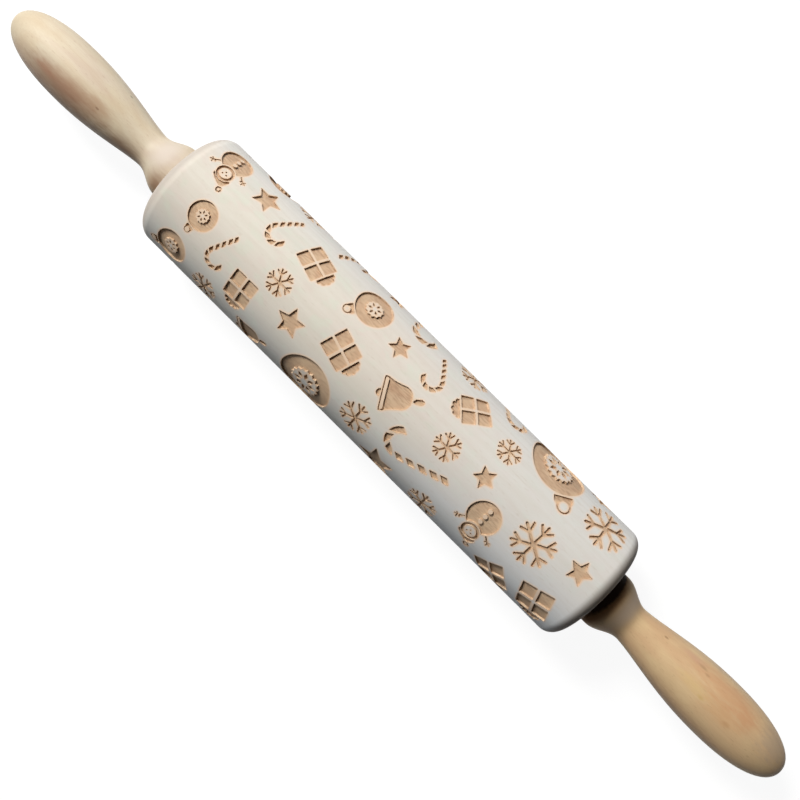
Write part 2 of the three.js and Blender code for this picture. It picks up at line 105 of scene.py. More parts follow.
def emptied(holder: bpy.types.Material | bpy.types.World) -> bpy.types.NodeTree:
    """Empties the node tree of a material or a world.

    Args:
        holder: The material or the world.

    Returns:
        Its node tree, with nothing in it.
    """
    holder.use_nodes = True
    holder.node_tree.nodes.clear()
    return holder.node_tree


class Side(Enum):
    """Which end of the pin a piece belongs to; the value is the sign of its X."""

    LEFT = -1
    RIGHT = 1


@dataclass(frozen=True)
class Streaks:
    """A noise drawn out along the axle.

    In order: the streaks' length and width in millimetres, the band of the noise that is spread over 0 to 1,
    and the octaves of finer streaks.
    """

    length: float
    width: float
    low: float = 0.0
    high: float = 1.0
    detail: float = 2.0


@dataclass(frozen=True)
class Grain:
    """Straight beech grain along the axle, as seen on turned work, in millimetres.

    It has fine fibres, short ray flecks, broad soft changes of tone, and the swaying year rings of a board
    that was cut well away from the pith.
    """

    fibres: Streaks = Streaks(22.0, 0.55, 0.32, 0.68, 3.0)
    rays: Streaks = Streaks(2.4, 0.42, 0.70, 0.82, 0.0)
    patches: Streaks = Streaks(66.0, 30.0, 0.36, 0.64)
    sway: Streaks = Streaks(90.0, 14.0)
    sway_reach: float = 9.0
    ring_width: float = 2.6
    ring_band: Point = (-0.6, 1.4)
    pith: Point = (31.0, -44.0)


class Surface:
    """A finish in the making: its node tree and the tones laid on so far."""

    def __init__(self, name: str, ground: str) -> None:
        """Starts a material.

        Args:
            name: The finish's name.
            ground: The tone under all others, as #rrggbb.
        """
        self.material = bpy.data.materials.new(name)
        self.tree = emptied(self.material)
        self.colour: Socket | tuple = linear(ground)
        self.add = partial(add, self.tree)
        metres = self.add("ShaderNodeTexCoord").outputs["Object"]
        scaled = {0: metres, "Scale": 1 / MM}
        self.place = self.add("ShaderNodeVectorMath", scaled, operation="SCALE").outputs[0]
        self.axes = self.add("ShaderNodeSeparateXYZ", {0: self.place}).outputs

    def band(self, value: Socket, low: float, high: float) -> Socket:
        """Spreads a value's low-to-high band smoothly over 0 to 1."""
        links = {"Value": value, "From Min": low, "From Max": high}
        return self.add("ShaderNodeMapRange", links, interpolation_type="SMOOTHSTEP").outputs[0]

    def noise(self, streaks: Streaks) -> Socket:
        """Adds the plain noise of some streaks.

        Args:
            streaks: Their sizes.

        Returns:
            The noise, from 0 to 1.
        """
        links = {0: self.place, 1: (1 / streaks.length, 1 / streaks.width, 1 / streaks.width)}
        drawn = self.add("ShaderNodeVectorMath", links, operation="MULTIPLY").outputs[0]
        links = {"Vector": drawn, "Scale": 1.0, "Detail": streaks.detail, "Roughness": 0.6}
        return self.add("ShaderNodeTexNoise", links).outputs[0]

    def streaks(self, streaks: Streaks) -> Socket:
        """Adds streaks, spread over 0 to 1."""
        return self.band(self.noise(streaks), streaks.low, streaks.high)

    def distance(self, centre: tuple | Vector, stretch: tuple[float, float, float]) -> Socket:
        """Adds the distance from a point.

        Args:
            centre: The point, in millimetres.
            stretch: What each axis of the offset from it is multiplied by.

        Returns:
            The length of the stretched offset.
        """
        links = {0: self.place, 1: centre}
        offset = self.add("ShaderNodeVectorMath", links, operation="SUBTRACT").outputs[0]
        shaped = self.add("ShaderNodeVectorMath", {0: offset, 1: stretch}, operation="MULTIPLY").outputs[0]
        return self.add("ShaderNodeVectorMath", {0: shaped}, operation="LENGTH").outputs["Value"]

    def rings(self, grain: Grain) -> Socket:
        """Adds year rings, as the sine of a swaying distance from the pith.

        Args:
            grain: The rings' sizes.

        Returns:
            The rings, spread over 0 to 1.
        """
        total = self.noise(grain.sway)
        reach = self.distance((0.0, *grain.pith), (0.0, 1.0, 1.0))
        for operation, value in (("MULTIPLY", grain.sway_reach), ("ADD", reach),
                                 ("MULTIPLY", 2 * math.pi / grain.ring_width), ("SINE", 0.0)):
            total = self.add("ShaderNodeMath", {0: total, 1: value}, operation=operation).outputs[0]
        return self.band(total, *grain.ring_band)

    def ends(self) -> Socket:
        """Adds where the fibres are cut across, which is where the surface faces along the axle.

        Returns:
            The end grain, spread over 0 to 1.
        """
        links = {0: self.add("ShaderNodeTexCoord").outputs["Normal"], 1: (1.0, 0.0, 0.0)}
        along = self.add("ShaderNodeVectorMath", links, operation="MULTIPLY").outputs[0]
        facing = self.add("ShaderNodeVectorMath", {0: along}, operation="LENGTH").outputs["Value"]
        return self.band(facing, 0.05, 0.6)

    def lay(self, code: str, mask: Socket, share: float) -> None:
        """Lays one more tone over the others through a mask.

        Args:
            code: The tone, as #rrggbb.
            mask: Where it lies, from 0 to 1.
            share: How much of it shows where the mask is 1.
        """
        amount = self.add("ShaderNodeMath", {0: mask, 1: share}, operation="MULTIPLY").outputs[0]
        links = {MIX_FACTOR: amount, MIX_A: self.colour, MIX_B: linear(code)}
        self.colour = self.add("ShaderNodeMix", links, data_type="RGBA").outputs[MIX_RESULT]

    def finished(self, sockets: dict, height: Socket | float = 0.0, strength: float = 0.0,
                 depth: float = 0.0) -> bpy.types.Material:
        """Puts the shader and a fine relief on the material.

        Args:
            sockets: The shader's input sockets, besides its colour and normal, to their values.
            height: The relief's pattern, from 0 to 1.
            strength: How much of the relief shows; with none, the surface has no relief.
            depth: The relief's depth in millimetres.

        Returns:
            The material.
        """
        if strength:
            links = {"Height": height, "Strength": strength, "Distance": depth * MM}
            sockets = {**sockets, "Normal": self.add("ShaderNodeBump", links).outputs[0]}
        shader = self.add("ShaderNodeBsdfPrincipled", {"Base Color": self.colour, **sockets})
        self.add("ShaderNodeOutputMaterial", {"Surface": shader.outputs[0]})
        return self.material


@dataclass(frozen=True)
class SandedBeech:
    """Unsteamed beech, turned and sanded with fine paper, left bare: pale, dry and nearly matt.

    A tone's _x or _y is the band of millimetres along that axis over which it comes in. The heated wood is
    found by its reach, how far to look into it in millimetres, and by the share of that which is free of
    other surfaces.
    """

    name: str = "beech_sanded"
    pale: str = "#e0dace"
    pink: str = "#dfd2c8"
    grey: str = "#d2d4c8"
    green: str = "#d9dccc"
    painted_falloff_tone: str = "#dcdbd9"
    painted_cool_light: str = "#e7e9ec"
    painted_sheen: str = "#ecebe7"
    ash: str = "#d6dcdc"
    line: str = "#cabfae"
    ray: str = "#b9a993"
    end: str = "#b3aaa0"
    painted_end_shade: str = "#6a625b"
    edge: str = "#eed8c5"
    toast: str = "#e2c09b"
    roughness: float = 0.62
    specular: float = 0.15
    grain: Grain = Grain()
    drift: Streaks = Streaks(34.0, 16.0, 0.50, 0.72)
    open_cells: Streaks = Streaks(8.0, 5.0, 0.50, 0.70, 1.0)
    shut_cells: Streaks = Streaks(7.0, 4.5, 0.47, 0.30, 1.0)
    painted_falloff_x: Point = (-20.0, 90.0)
    painted_cool_light_y: Point = (-2.0, -20.0)
    painted_sheen_y: Point = (14.0, 25.0)
    painted_cool_flank_y: Point = (-10.0, -24.0)
    painted_end_shade_x: Point = (112.8, 115.4)
    rim_reach: float = 1.2
    rim_free: Point = (1.0, 0.72)
    ridge_reach: float = 2.5
    ridge_free: Point = (0.76, 0.58)

    def material(self) -> bpy.types.Material:
        """Builds the finish: tones that drift along the board, with faint rings and fibres.

        Returns:
            The material.
        """
        wood = Surface(self.name, self.pale)
        wood.lay(self.pink, wood.streaks(self.grain.patches), 0.55)
        wood.lay(self.grey, wood.streaks(self.drift), 0.6)
        # Sanding leaves the wood's cells more or less open, which mottles it over a few millimetres.
        wood.lay(self.pink, wood.streaks(self.open_cells), 0.5)
        wood.lay(self.green, wood.streaks(self.shut_cells), 0.5)
        # Painted shade: the right half is painted greyer, which stands in for the light falling off away from
        # the lamp.
        along, across = wood.axes["X"], wood.axes["Y"]
        right = wood.band(along, *self.painted_falloff_x)
        wood.lay(self.painted_falloff_tone, right, 0.6)
        # Painted cool light: the -Y flank of the right half is painted paler and cooler.
        links = {0: right, 1: wood.band(across, *self.painted_cool_light_y)}
        corner = wood.add("ShaderNodeMath", links, operation="MULTIPLY").outputs[0]
        wood.lay(self.painted_cool_light, corner, 0.85)
        # Painted sheen: the +Y flank is painted paler, standing in for the reflection of pale surroundings at
        # grazing angles.
        wood.lay(self.painted_sheen, wood.band(across, *self.painted_sheen_y), 0.6)
        # Painted cool light: the -Y flank is painted cooler, standing in for cool light on that side.
        wood.lay(self.ash, wood.band(across, *self.painted_cool_flank_y), 0.45)
        fibres = wood.streaks(self.grain.fibres)
        wood.lay(self.line, wood.rings(self.grain), 0.12)
        wood.lay(self.line, fibres, 0.11)
        wood.lay(self.ray, wood.streaks(self.grain.rays), 0.2)
        # End grain soaks up whatever touches it. Painted shade: a band round the right end's corner is
        # painted darker, standing in for the shade where that end turns away from the lamp.
        wood.lay(self.end, wood.ends(), 0.85)
        wood.lay(self.painted_end_shade, wood.band(along, *self.painted_end_shade_x), 0.6)
        # The laser's heat warms the top of each wall, so the rims and the small islands are peach. Slender
        # ridges are heated from every side, so they are toasted through.
        for code, reach, free, share in ((self.edge, self.rim_reach, self.rim_free, 0.65),
                                         (self.toast, self.ridge_reach, self.ridge_free, 0.6)):
            links = {"Distance": reach * MM}
            thin = wood.add("ShaderNodeAmbientOcclusion", links, inside=True, samples=8).outputs["AO"]
            wood.lay(code, wood.band(thin, *free), share)
        # Sanding leaves fibres of a few hundredths of a millimetre.
        return wood.finished({"Roughness": self.roughness, "IOR": WOOD_IOR,
                              "Specular IOR Level": self.specular}, fibres, 0.25, 0.03)


@dataclass(frozen=True)
class EngravedBeech:
    """Beech burnt away by a laser in fine passes along the grain: tan, fibrous and dull."""

    name: str = "beech_engraved_floor"
    tan: str = "#cdad8f"
    light: str = "#dec5a5"
    brown: str = "#b0886c"
    line: str = "#946d57"
    pale: str = "#efd6bd"
    roughness: float = 0.8
    specular: float = 0.1
    uneven: Streaks = Streaks(9.0, 5.0, 0.35, 0.65)
    browned: Streaks = Streaks(16.0, 3.0, 0.55, 0.8)
    passes: Streaks = Streaks(3.2, 0.5, 0.45, 0.66)
    painted_light_y: Point = (4.0, -20.0)
    painted_light_reach: float = 1.0
    painted_light_free: Point = (0.6, 0.3)

    def material(self) -> bpy.types.Material:
        """Builds the finish: uneven browning, and pass lines drawn at 0.5 mm so that they show.

        Returns:
            The material.
        """
        wood = Surface(self.name, self.tan)
        wood.lay(self.light, wood.streaks(self.uneven), 0.5)
        wood.lay(self.brown, wood.streaks(self.browned), 0.5)
        passes = wood.streaks(self.passes)
        wood.lay(self.line, passes, 0.4)
        # Painted light: the floors on the -Y half are painted paler, lifting the shade of the pockets on that
        # flank.
        wood.lay(self.light, wood.band(wood.axes["Y"], *self.painted_light_y), 0.3)
        # Painted light: floors are painted paler where they are narrow or near a wall, lifting the shade that
        # falls there. The beam is also at its weakest where a cut is narrow, so such a floor stays paler.
        links = {"Distance": self.painted_light_reach * MM}
        corner = wood.add("ShaderNodeAmbientOcclusion", links, samples=8).outputs["AO"]
        wood.lay(self.pale, wood.band(corner, *self.painted_light_free), 0.6)
        return wood.finished({"Roughness": self.roughness, "IOR": WOOD_IOR,
                              "Specular IOR Level": self.specular}, passes, 0.4, 0.1)


@dataclass(frozen=True)
class ScorchedBeech:
    """The cut walls of the pockets: clean tan wood with thin scorched streaks, dry and matt."""

    name: str = "beech_scorched_wall"
    tan: str = "#d6bda0"
    scorch: str = "#8a5e42"
    roughness: float = 0.85
    specular: float = 0.1
    burns: Streaks = Streaks(2.0, 1.0, 0.4, 0.7)

    def material(self) -> bpy.types.Material:
        """Builds the finish: tan with scorched streaks a millimetre wide.

        Returns:
            The material.
        """
        wood = Surface(self.name, self.tan)
        wood.lay(self.scorch, wood.streaks(self.burns), 0.6)
        return wood.finished({"Roughness": self.roughness, "IOR": WOOD_IOR,
                              "Specular IOR Level": self.specular})


@dataclass(frozen=True)
class Mark:
    """A knot, a patch of heartwood, a stain, painted shade or a painted shadow on a handle.

    In order: its place in the handle's own sizes, its half width, how many times longer than wide it is, its
    colour, how much of it shows, how soft its edge is and how much the fibres fray it.
    """

    along: float
    degrees: float
    radius: float
    stretch: float
    colour: str
    share: float
    soft: float = 0.75
    fray: float = 1.2


@dataclass(frozen=True)
class OiledBeech:
    """Beech turned, sanded and rubbed with a thin oil: warmer than the barrel, with a soft low shine."""

    name: str
    pale: str
    gold: str
    rose: str
    line: str = "#b5906c"
    ray: str = "#a07c5a"
    end: str = "#a98a68"
    roughness: float = 0.5
    grain: Grain = Grain(fibres=Streaks(22.0, 0.45, 0.32, 0.68, 3.0), patches=Streaks(28.6, 13.0, 0.36, 0.64),
                         ring_width=3.4, pith=(14.0, -22.0))
    heart: Streaks = Streaks(45.0, 12.0, 0.50, 0.70)
    frayed: Streaks = Streaks(6.0, 1.6)
    dry_to: float = 121.0
    oiled_from: float = 126.0
    dry_specular: float = 0.02
    oiled_specular: float = 0.22

    def material(self, marks: list[tuple[Vector, Mark]]) -> bpy.types.Material:
        """Builds the finish.

        Args:
            marks: The knots, patches, painted shade and painted shadows, each with its point in the row frame
                in millimetres.

        Returns:
            The material.
        """
        wood = Surface(self.name, self.pale)
        wood.lay(self.gold, wood.streaks(self.grain.patches), 0.7)
        wood.lay(self.rose, wood.streaks(self.heart), 0.45)
        fibres = wood.streaks(self.grain.fibres)
        wood.lay(self.line, wood.rings(self.grain), 0.10)
        wood.lay(self.line, fibres, 0.14)
        wood.lay(self.ray, wood.streaks(self.grain.rays), 0.25)
        wood.lay(self.end, wood.ends(), 0.5)
        # The fibres run round a mark and fray its edge.
        links = {0: wood.noise(self.frayed), 1: 0.5}
        fray = wood.add("ShaderNodeMath", links, operation="SUBTRACT").outputs[0]
        for centre, mark in marks:
            shape = (1 / (mark.radius * mark.stretch), 1 / mark.radius, 1 / mark.radius)
            links = {0: fray, 1: mark.fray, 2: wood.distance(centre, shape)}
            frayed = wood.add("ShaderNodeMath", links, operation="MULTIPLY_ADD").outputs[0]
            wood.lay(mark.colour, wood.band(frayed, 1.0, 1.0 - mark.soft), mark.share)
        # The rag doesn't reach the wood beside the barrel, so it stays dry and has no shine.
        away = wood.add("ShaderNodeMath", {0: wood.axes["X"]}, operation="ABSOLUTE").outputs[0]
        oil = {"Value": away, "From Min": self.dry_to, "From Max": self.oiled_from,
               "To Min": self.dry_specular, "To Max": self.oiled_specular}
        shine = wood.add("ShaderNodeMapRange", oil).outputs[0]
        return wood.finished({"Roughness": self.roughness, "IOR": WOOD_IOR, "Specular IOR Level": shine},
                             fibres, 0.2, 0.03)


@dataclass(frozen=True)
class MouldedNylon:
    """Polyamide as moulded: off-white, waxy, with a fine spark-eroded skin."""

    name: str = "nylon_moulded"
    body: str = "#e9e6dc"
    shade: str = "#dcd7c8"
    roughness: float = 0.42
    clouds: Streaks = Streaks(6.0, 6.0, 0.3, 0.7, 1.0)
    skin: Streaks = Streaks(0.4, 0.4, detail=1.0)

    def material(self) -> bpy.types.Material:
        """Builds the finish: a 0.4 mm pebbled skin and a faint change of tone.

        Returns:
            The material.
        """
        nylon = Surface(self.name, self.body)
        nylon.lay(self.shade, nylon.streaks(self.clouds), 0.5)
        sockets = {"Roughness": self.roughness, "IOR": NYLON_IOR}
        return nylon.finished(sockets, nylon.noise(self.skin), 0.3, 0.02)


@dataclass(frozen=True)
class BareMetal:
    """A bare metal, drawn, stamped or turned: tool lines round or along it break up its shine."""

    name: str
    bright: str
    dull: str
    roughness: float
    lines: Streaks
    smoother: float = 0.06
    rougher: float = 0.12

    def material(self) -> bpy.types.Material:
        """Builds the finish from its tool lines.

        Returns:
            The material.
        """
        metal = Surface(self.name, self.bright)
        lines = metal.noise(self.lines)
        metal.lay(self.dull, metal.band(lines, self.lines.low, self.lines.high), 0.7)
        spread = {"Value": lines, "To Min": self.roughness - self.smoother,
                  "To Max": self.roughness + self.rougher}
        rough = metal.add("ShaderNodeMapRange", spread).outputs[0]
        return metal.finished({"Metallic": 1.0, "Roughness": rough}, lines, 0.2, 0.02)


DRAWN_STEEL = BareMetal("stainless_drawn", "#b4b8bc", "#9a9ea3", 0.28, Streaks(30.0, 0.3, 0.35, 0.65))
STAMPED_STEEL = BareMetal("stainless_stamped", "#c2c5c8", "#a5a9ad", 0.34, Streaks(0.6, 0.6, 0.35, 0.65))
TURNED_BRASS = BareMetal("brass_turned", "#c9a055", "#a67c38", 0.32, Streaks(0.25, 8.0, 0.35, 0.65))


def around(along: float, radius: float, angle: float) -> Vector:
    """Returns the point at a place along the axle, at a radius and an angle from the top."""
    return Vector((along, radius * math.sin(angle), radius * math.cos(angle)))


def ring_points(profile: list[Point], turns: int) -> list[Vector]:
    """Sets out a profile round the axle.

    Args:
        profile: (place along the axle, radius) pairs in millimetres.
        turns: Points in each ring; ring k lies at k shares of a turn from the underside.

    Returns:
        The rings' points in metres, ring after ring.
    """
    angles = [-math.pi + 2 * math.pi * k / turns for k in range(turns)]
    return [around(along, radius, angle) * MM for along, radius in profile for angle in angles]


def ring_faces(rings: int, turns: int, closed: bool, first: int = 0) -> list[tuple[int, ...]]:
    """Joins rings of points with quads, which face away from the axle where the profile runs towards +X.

    Args:
        rings: How many rings there are.
        turns: Points in each ring.
        closed: Whether the last ring joins the first.
        first: Number of the first ring's first point.

    Returns:
        The quads.
    """
    faces = []
    for i in range(rings if closed else rings - 1):
        here, there = first + i * turns, first + (i + 1) % rings * turns
        for k in range(turns):
            after = (k + 1) % turns
            faces.append((here + k, there + k, there + after, here + after))
    return faces


def placed(name: str, data: bpy.types.ID) -> bpy.types.Object:
    """Puts a new object into the scene.

    Args:
        name: The object's name.
        data: Its mesh, lamp or camera.

    Returns:
        The object.
    """
    thing = bpy.data.objects.new(name, data)
    bpy.context.scene.collection.objects.link(thing)
    return thing


def new_object(name: str, points: list[Vector], faces: list, kinds: list[int] | None = None,
               sharp_degrees: float = 32.0) -> bpy.types.Object:
    """Makes an object from points and faces, welds what meets and shades it smooth between its edges.

    Args:
        name: The piece's name.
        points: Points in metres in the row frame.
        faces: Point numbers of each face.
        kinds: Material slot number of each face, or None for one material.
        sharp_degrees: Edges that turn more than this stay sharp.

    Returns:
        The object.
    """
    mesh = bpy.data.meshes.new(name)
    mesh.from_pydata(points, [], faces)
    if kinds is not None:
        mesh.polygons.foreach_set("material_index", kinds)
    shape = bmesh.new()
    shape.from_mesh(mesh)
    bmesh.ops.remove_doubles(shape, verts=shape.verts, dist=SAME_POINT * MM)
    bmesh.ops.dissolve_degenerate(shape, edges=shape.edges, dist=SLIVER * MM)
    shape.to_mesh(mesh)
    shape.free()
    mesh.shade_smooth()
    mesh.set_sharp_from_angle(angle=math.radians(sharp_degrees))
    return placed(name, mesh)


def turned(name: str, profile: list[Point], turns: int = 96, closed: bool = True) -> bpy.types.Object:
    """Turns a profile about the axle.

    Args:
        name: The piece's name.
        profile: (place along the axle, radius) pairs in millimetres, towards +X on the outside.
        turns: Faces round the piece.
        closed: Whether the profile is a loop, as a ring's is, and doesn't end on the axle.

    Returns:
        The object.
    """
    return new_object(name, ring_points(profile, turns), ring_faces(len(profile), turns, closed))


def circle(along: float, side: float, radius: float, count: int) -> Outline:
    """Returns points round a circle in a motif's own plane."""
    steps = [2 * math.pi * i / count for i in range(count)]
    return [(along + radius * math.cos(a), side + radius * math.sin(a)) for a in steps]


def spun(outline: Outline, angle: float) -> Outline:
    """Returns an outline turned about the motif's centre."""
    cosine, sine = math.cos(angle), math.sin(angle)
    return [(p * cosine - q * sine, p * sine + q * cosine) for p, q in outline]


def both_hands(half: Outline) -> Outline:
    """Returns a symmetric outline from its left half, given from the bottom up."""
    return [(p, -q) for p, q in half] + [(p, q) for p, q in reversed(half) if q > 0]


def anticlockwise(outline: Outline) -> Outline:
    """Returns an outline that runs anticlockwise, so that what it encloses is on its left."""
    area = sum(p * s - r * q for (p, q), (r, s) in zip(outline, outline[1:] + outline[:1]))
    return outline if area > 0 else outline[::-1]


@dataclass(frozen=True)
class Cane:
    """A candy cane's stripe count and its sizes as shares of its shaft: hook radius, band width and tail.

    The hand is the side that it hooks to. The last four are how far a stripe slants, how much of each step
    is cut away along the shaft and round the hook, and where the hook's share begins.
    """

    stripes: int
    hook: float
    band: float
    tail: float
    hand: int = 1
    slant: float = 0.045
    shaft_share: float = 0.58
    hook_share: float = 0.72
    hook_from: float = 0.9

    def at(self, travel: float, offset: float) -> Point:
        """Follows the shaft and the hook.

        Args:
            travel: How far to go from the foot of the shaft.
            offset: How far to step across the band.

        Returns:
            The point there.
        """
        if travel <= 1:
            return (travel - 1, offset)
        angle = (travel - 1) / self.hook
        if angle > math.pi:
            return (-(travel - 1 - math.pi * self.hook), 2 * self.hook - offset)
        return ((self.hook - offset) * math.sin(angle), self.hook - (self.hook - offset) * math.cos(angle))

    def outlines(self) -> list[Outline]:
        """Sets out the slanted stripes.

        Returns:
            Their outlines.
        """
        total = 1 + math.pi * self.hook + self.tail
        step = total / self.stripes
        stripes = []
        for i in range(self.stripes):
            start = i * step if i else 0.1 * step
            share = self.shaft_share if start < self.hook_from else self.hook_share
            end = total if i == self.stripes - 1 else start + share * step
            parts = 1 if end <= 1 else 3
            travels = [start + (end - start) * j / parts for j in range(parts + 1)]
            near = [self.at(max(0, t - self.slant), -self.band / 2) for t in travels]
            far = [self.at(t + self.slant, self.band / 2) for t in reversed(travels)]
            stripes.append([(p, self.hand * q) for p, q in near + far])
        return stripes


def star() -> list[Outline]:
    """Returns a five-pointed star."""
    return [[p for i in range(10) for p in spun([(0.47 if i % 2 else 1.0, 0.0)], math.pi * i / 5)]]


def flake() -> list[Outline]:
    """Sets out a six-armed snowflake with a pair of twigs on each arm.

    Returns:
        Its outline, alone in a list.
    """
    arm = [(0.135, -0.06), (0.54, -0.06), (0.84, -0.36), (0.93, -0.30), (0.70, -0.06), (0.97, -0.06),
           (1.03, 0.0), (0.97, 0.06), (0.70, 0.06), (0.93, 0.30), (0.84, 0.36), (0.54, 0.06)]
    return [[p for i in range(6) for p in spun(arm, math.pi * i / 3)]]


def bauble(reach: float = 0.48, teeth: int = 12, cuts: int = 6, shoulder: float = 0.27) -> list[Outline]:
    """Sets out a round bauble with a raised rosette, slots in that, and a cap with its ring.

    Args:
        reach: The rosette's radius as a share of the bauble's.
        teeth: Teeth round the rosette.
        cuts: Slots in the rosette.
        shoulder: Half the cap's width, as a share of the bauble's radius.

    Returns:
        Its outlines.
    """
    rosette = [p for i in range(2 * teeth)
               for p in spun([(reach * (0.85 if i % 2 else 1.0), 0.0)], math.pi * i / teeth)]
    slot = [(p * reach, q * reach) for p, q in ((0.25, 0.0), (0.5, -0.14), (0.77, 0.0), (0.5, 0.14))]
    slots = [spun(slot, 2 * math.pi * (i + 0.5) / cuts) for i in range(cuts)]
    loop = [math.radians(-100 + 200 * i / 12) for i in range(13)]
    cap = [(1.055, -shoulder), (1.22, 0.005 - shoulder),
           *((1.37 + 0.235 * math.cos(a), 0.235 * math.sin(a)) for a in loop),
           (1.22, shoulder - 0.005), (1.055, shoulder)]
    return [circle(0, 0, 1, 48), rosette, *slots, cap, circle(1.385, 0, 0.175, 16)]


def large_bauble() -> list[Outline]:
    """Returns a bauble with a larger, finer toothed rosette and a wider cap."""
    return bauble(0.56, 18, 8, 0.32)


def gift() -> list[Outline]:
    """Sets out a parcel's four panes round a raised ribbon, and its scalloped bow.

    Returns:
        Its outlines.
    """
    panes = []
    for p0, p1 in ((-0.53, -0.045), (0.045, 0.53)):
        for q0, q1 in ((-0.5, -0.045), (0.045, 0.5)):
            panes.append([(p0, q0), (p1, q0), (p1, q1), (p0, q1)])
    base, lobes = 0.59, 5
    bow = [(base, -0.33)]
    for i in range(lobes):
        start = -math.pi / 2 + math.pi * i / lobes
        for share, reach in ((0.18, 0.93), (0.5, 1.0), (0.82, 0.93)):
            angle = start + math.pi / lobes * share
            bow.append((base + 0.31 * reach * math.cos(angle), 0.36 * reach * math.sin(angle)))
        if i < lobes - 1:
            angle = start + math.pi / lobes
            bow.append((base + 0.245 * math.cos(angle), 0.285 * math.sin(angle)))
    return [*panes, bow + [(base, 0.33)]]


def bell() -> list[Outline]:
    """Sets out a bell with a raised rim bar, its drop and its clapper.

    Returns:
        Its outlines.
    """
    body = both_hands([(0.0, 0.50), (0.03, 0.52), (0.135, 0.50), (0.30, 0.42), (0.5, 0.375), (0.70, 0.34),
                       (0.82, 0.27), (0.90, 0.15), (0.915, 0.0)])
    bar = both_hands([(0.035, 0.47), (0.10, 0.47), (0.13, 0.43)])
    drop = [(0.94, -0.03), (1.02, -0.08), (1.20, -0.09), (1.28, -0.03), (1.28, 0.04), (1.20, 0.09),
            (1.02, 0.06)]
    swing = [math.pi * i / 6 for i in range(7)]
    clapper = [(-0.03 - 0.13 * math.sin(a), -0.12 * math.cos(a)) for a in swing]
    return [body, bar, drop, clapper]


def snowman() -> list[Outline]:
    """Sets out a plain snowman: body with three buttons, ringed face, hat, pompom and twig arms.

    Returns:
        Its outlines.
    """
    head, size, clear = 1.24, 0.57, 0.66
    # The round body stops where it would come nearer to the head than the clear radius.
    along = (1 - clear * clear + head * head) / (2 * head)
    side = math.sqrt(1 - along * along)
    opening = math.atan2(side, along)
    sweep = 2 * math.pi - 2 * opening
    body = [p for i in range(41) for p in spun([(1.0, 0.0)], opening + sweep * i / 40)]
    low, high = 2 * math.pi - math.atan2(side, along - head), math.atan2(side, along - head)
    for i in range(1, 8):
        angle = low + (high - low) * i / 8
        body.append((head + clear * math.cos(angle), clear * math.sin(angle)))
    buttons = [circle(at, 0, 0.14, 12) for at in (-0.55, -0.14, 0.27)]
    eyes = [circle(head + 0.10, q, 0.055, 8) for q in (-0.14, 0.14)]
    nose = [(head - 0.04, -0.06), (head - 0.17, 0.0), (head - 0.04, 0.06)]
    hat = [(1.56, -0.54), (1.70, -0.55), (1.93, -0.24), (2.14, 0.18), (2.12, 0.36), (1.94, 0.50),
           (1.68, 0.62), (1.54, 0.55), (1.78, 0.30), (1.85, 0.0), (1.77, -0.30)]
    twig = [(0.72, 0.76), (0.92, 0.97), (1.05, 0.92), (1.07, 0.98), (0.98, 1.05), (1.03, 1.11),
            (1.20, 1.09), (1.21, 1.15), (1.05, 1.18), (1.09, 1.32), (1.03, 1.34), (0.97, 1.19),
            (0.89, 1.29), (0.84, 1.25), (0.94, 1.13), (0.67, 0.81)]
    return [body, *buttons, circle(head, 0, size, 32), circle(head, 0, 0.39, 20), *eyes, nose, hat,
            circle(2.36, 0.40, 0.19, 14), circle(2.36, 0.40, 0.10, 10), twig, [(p, -q) for p, q in twig]]


SLIM_CANE = Cane(9, 0.315, 0.14, 0.10)
STOUT_CANE = Cane(8, 0.25, 0.115, 0.0)
SLIM_CANE_OTHER, STOUT_CANE_OTHER = (replace(cane, hand=-1) for cane in (SLIM_CANE, STOUT_CANE))


class Kind(Enum):
    """The motifs, each with what draws it. Outlines are nested: every other level is cut away."""

    STAR = (star,)
    FLAKE = (flake,)
    BAUBLE = (bauble,)
    LARGE_BAUBLE = (large_bauble,)
    GIFT = (gift,)
    BELL = (bell,)
    SNOWMAN = (snowman,)
    CANE = (SLIM_CANE.outlines,)
    CANE_OTHER = (SLIM_CANE_OTHER.outlines,)
    STOUT_CANE = (STOUT_CANE.outlines,)
    STOUT_CANE_OTHER = (STOUT_CANE_OTHER.outlines,)


@dataclass(frozen=True)
class Motif:
    """One engraved motif.

    In order: its kind, its place as a share of the half barrel and in degrees from the top, its size as a
    share of the barrel's radius, and its turn in degrees.
    """

    kind: Kind
    along: float
    degrees: float
    size: float
    turn: float

    def outlines(self, half_length: float, radius: float) -> list[Outline]:
        """Lays the motif on the unrolled barrel.

        Args:
            half_length: Half the barrel's length in millimetres.
            radius: The barrel's radius in millimetres.

        Returns:
            Its outlines, X along the axle and Y round the barrel, in millimetres.
        """
        x, y = self.along * half_length, math.radians(self.degrees) * radius
        scale = self.size * radius
        laid = [spun(outline, math.radians(self.turn)) for outline in self.kind.value[0]()]
        return [anticlockwise([(x + p * scale, y + q * scale) for p, q in outline]) for outline in laid]


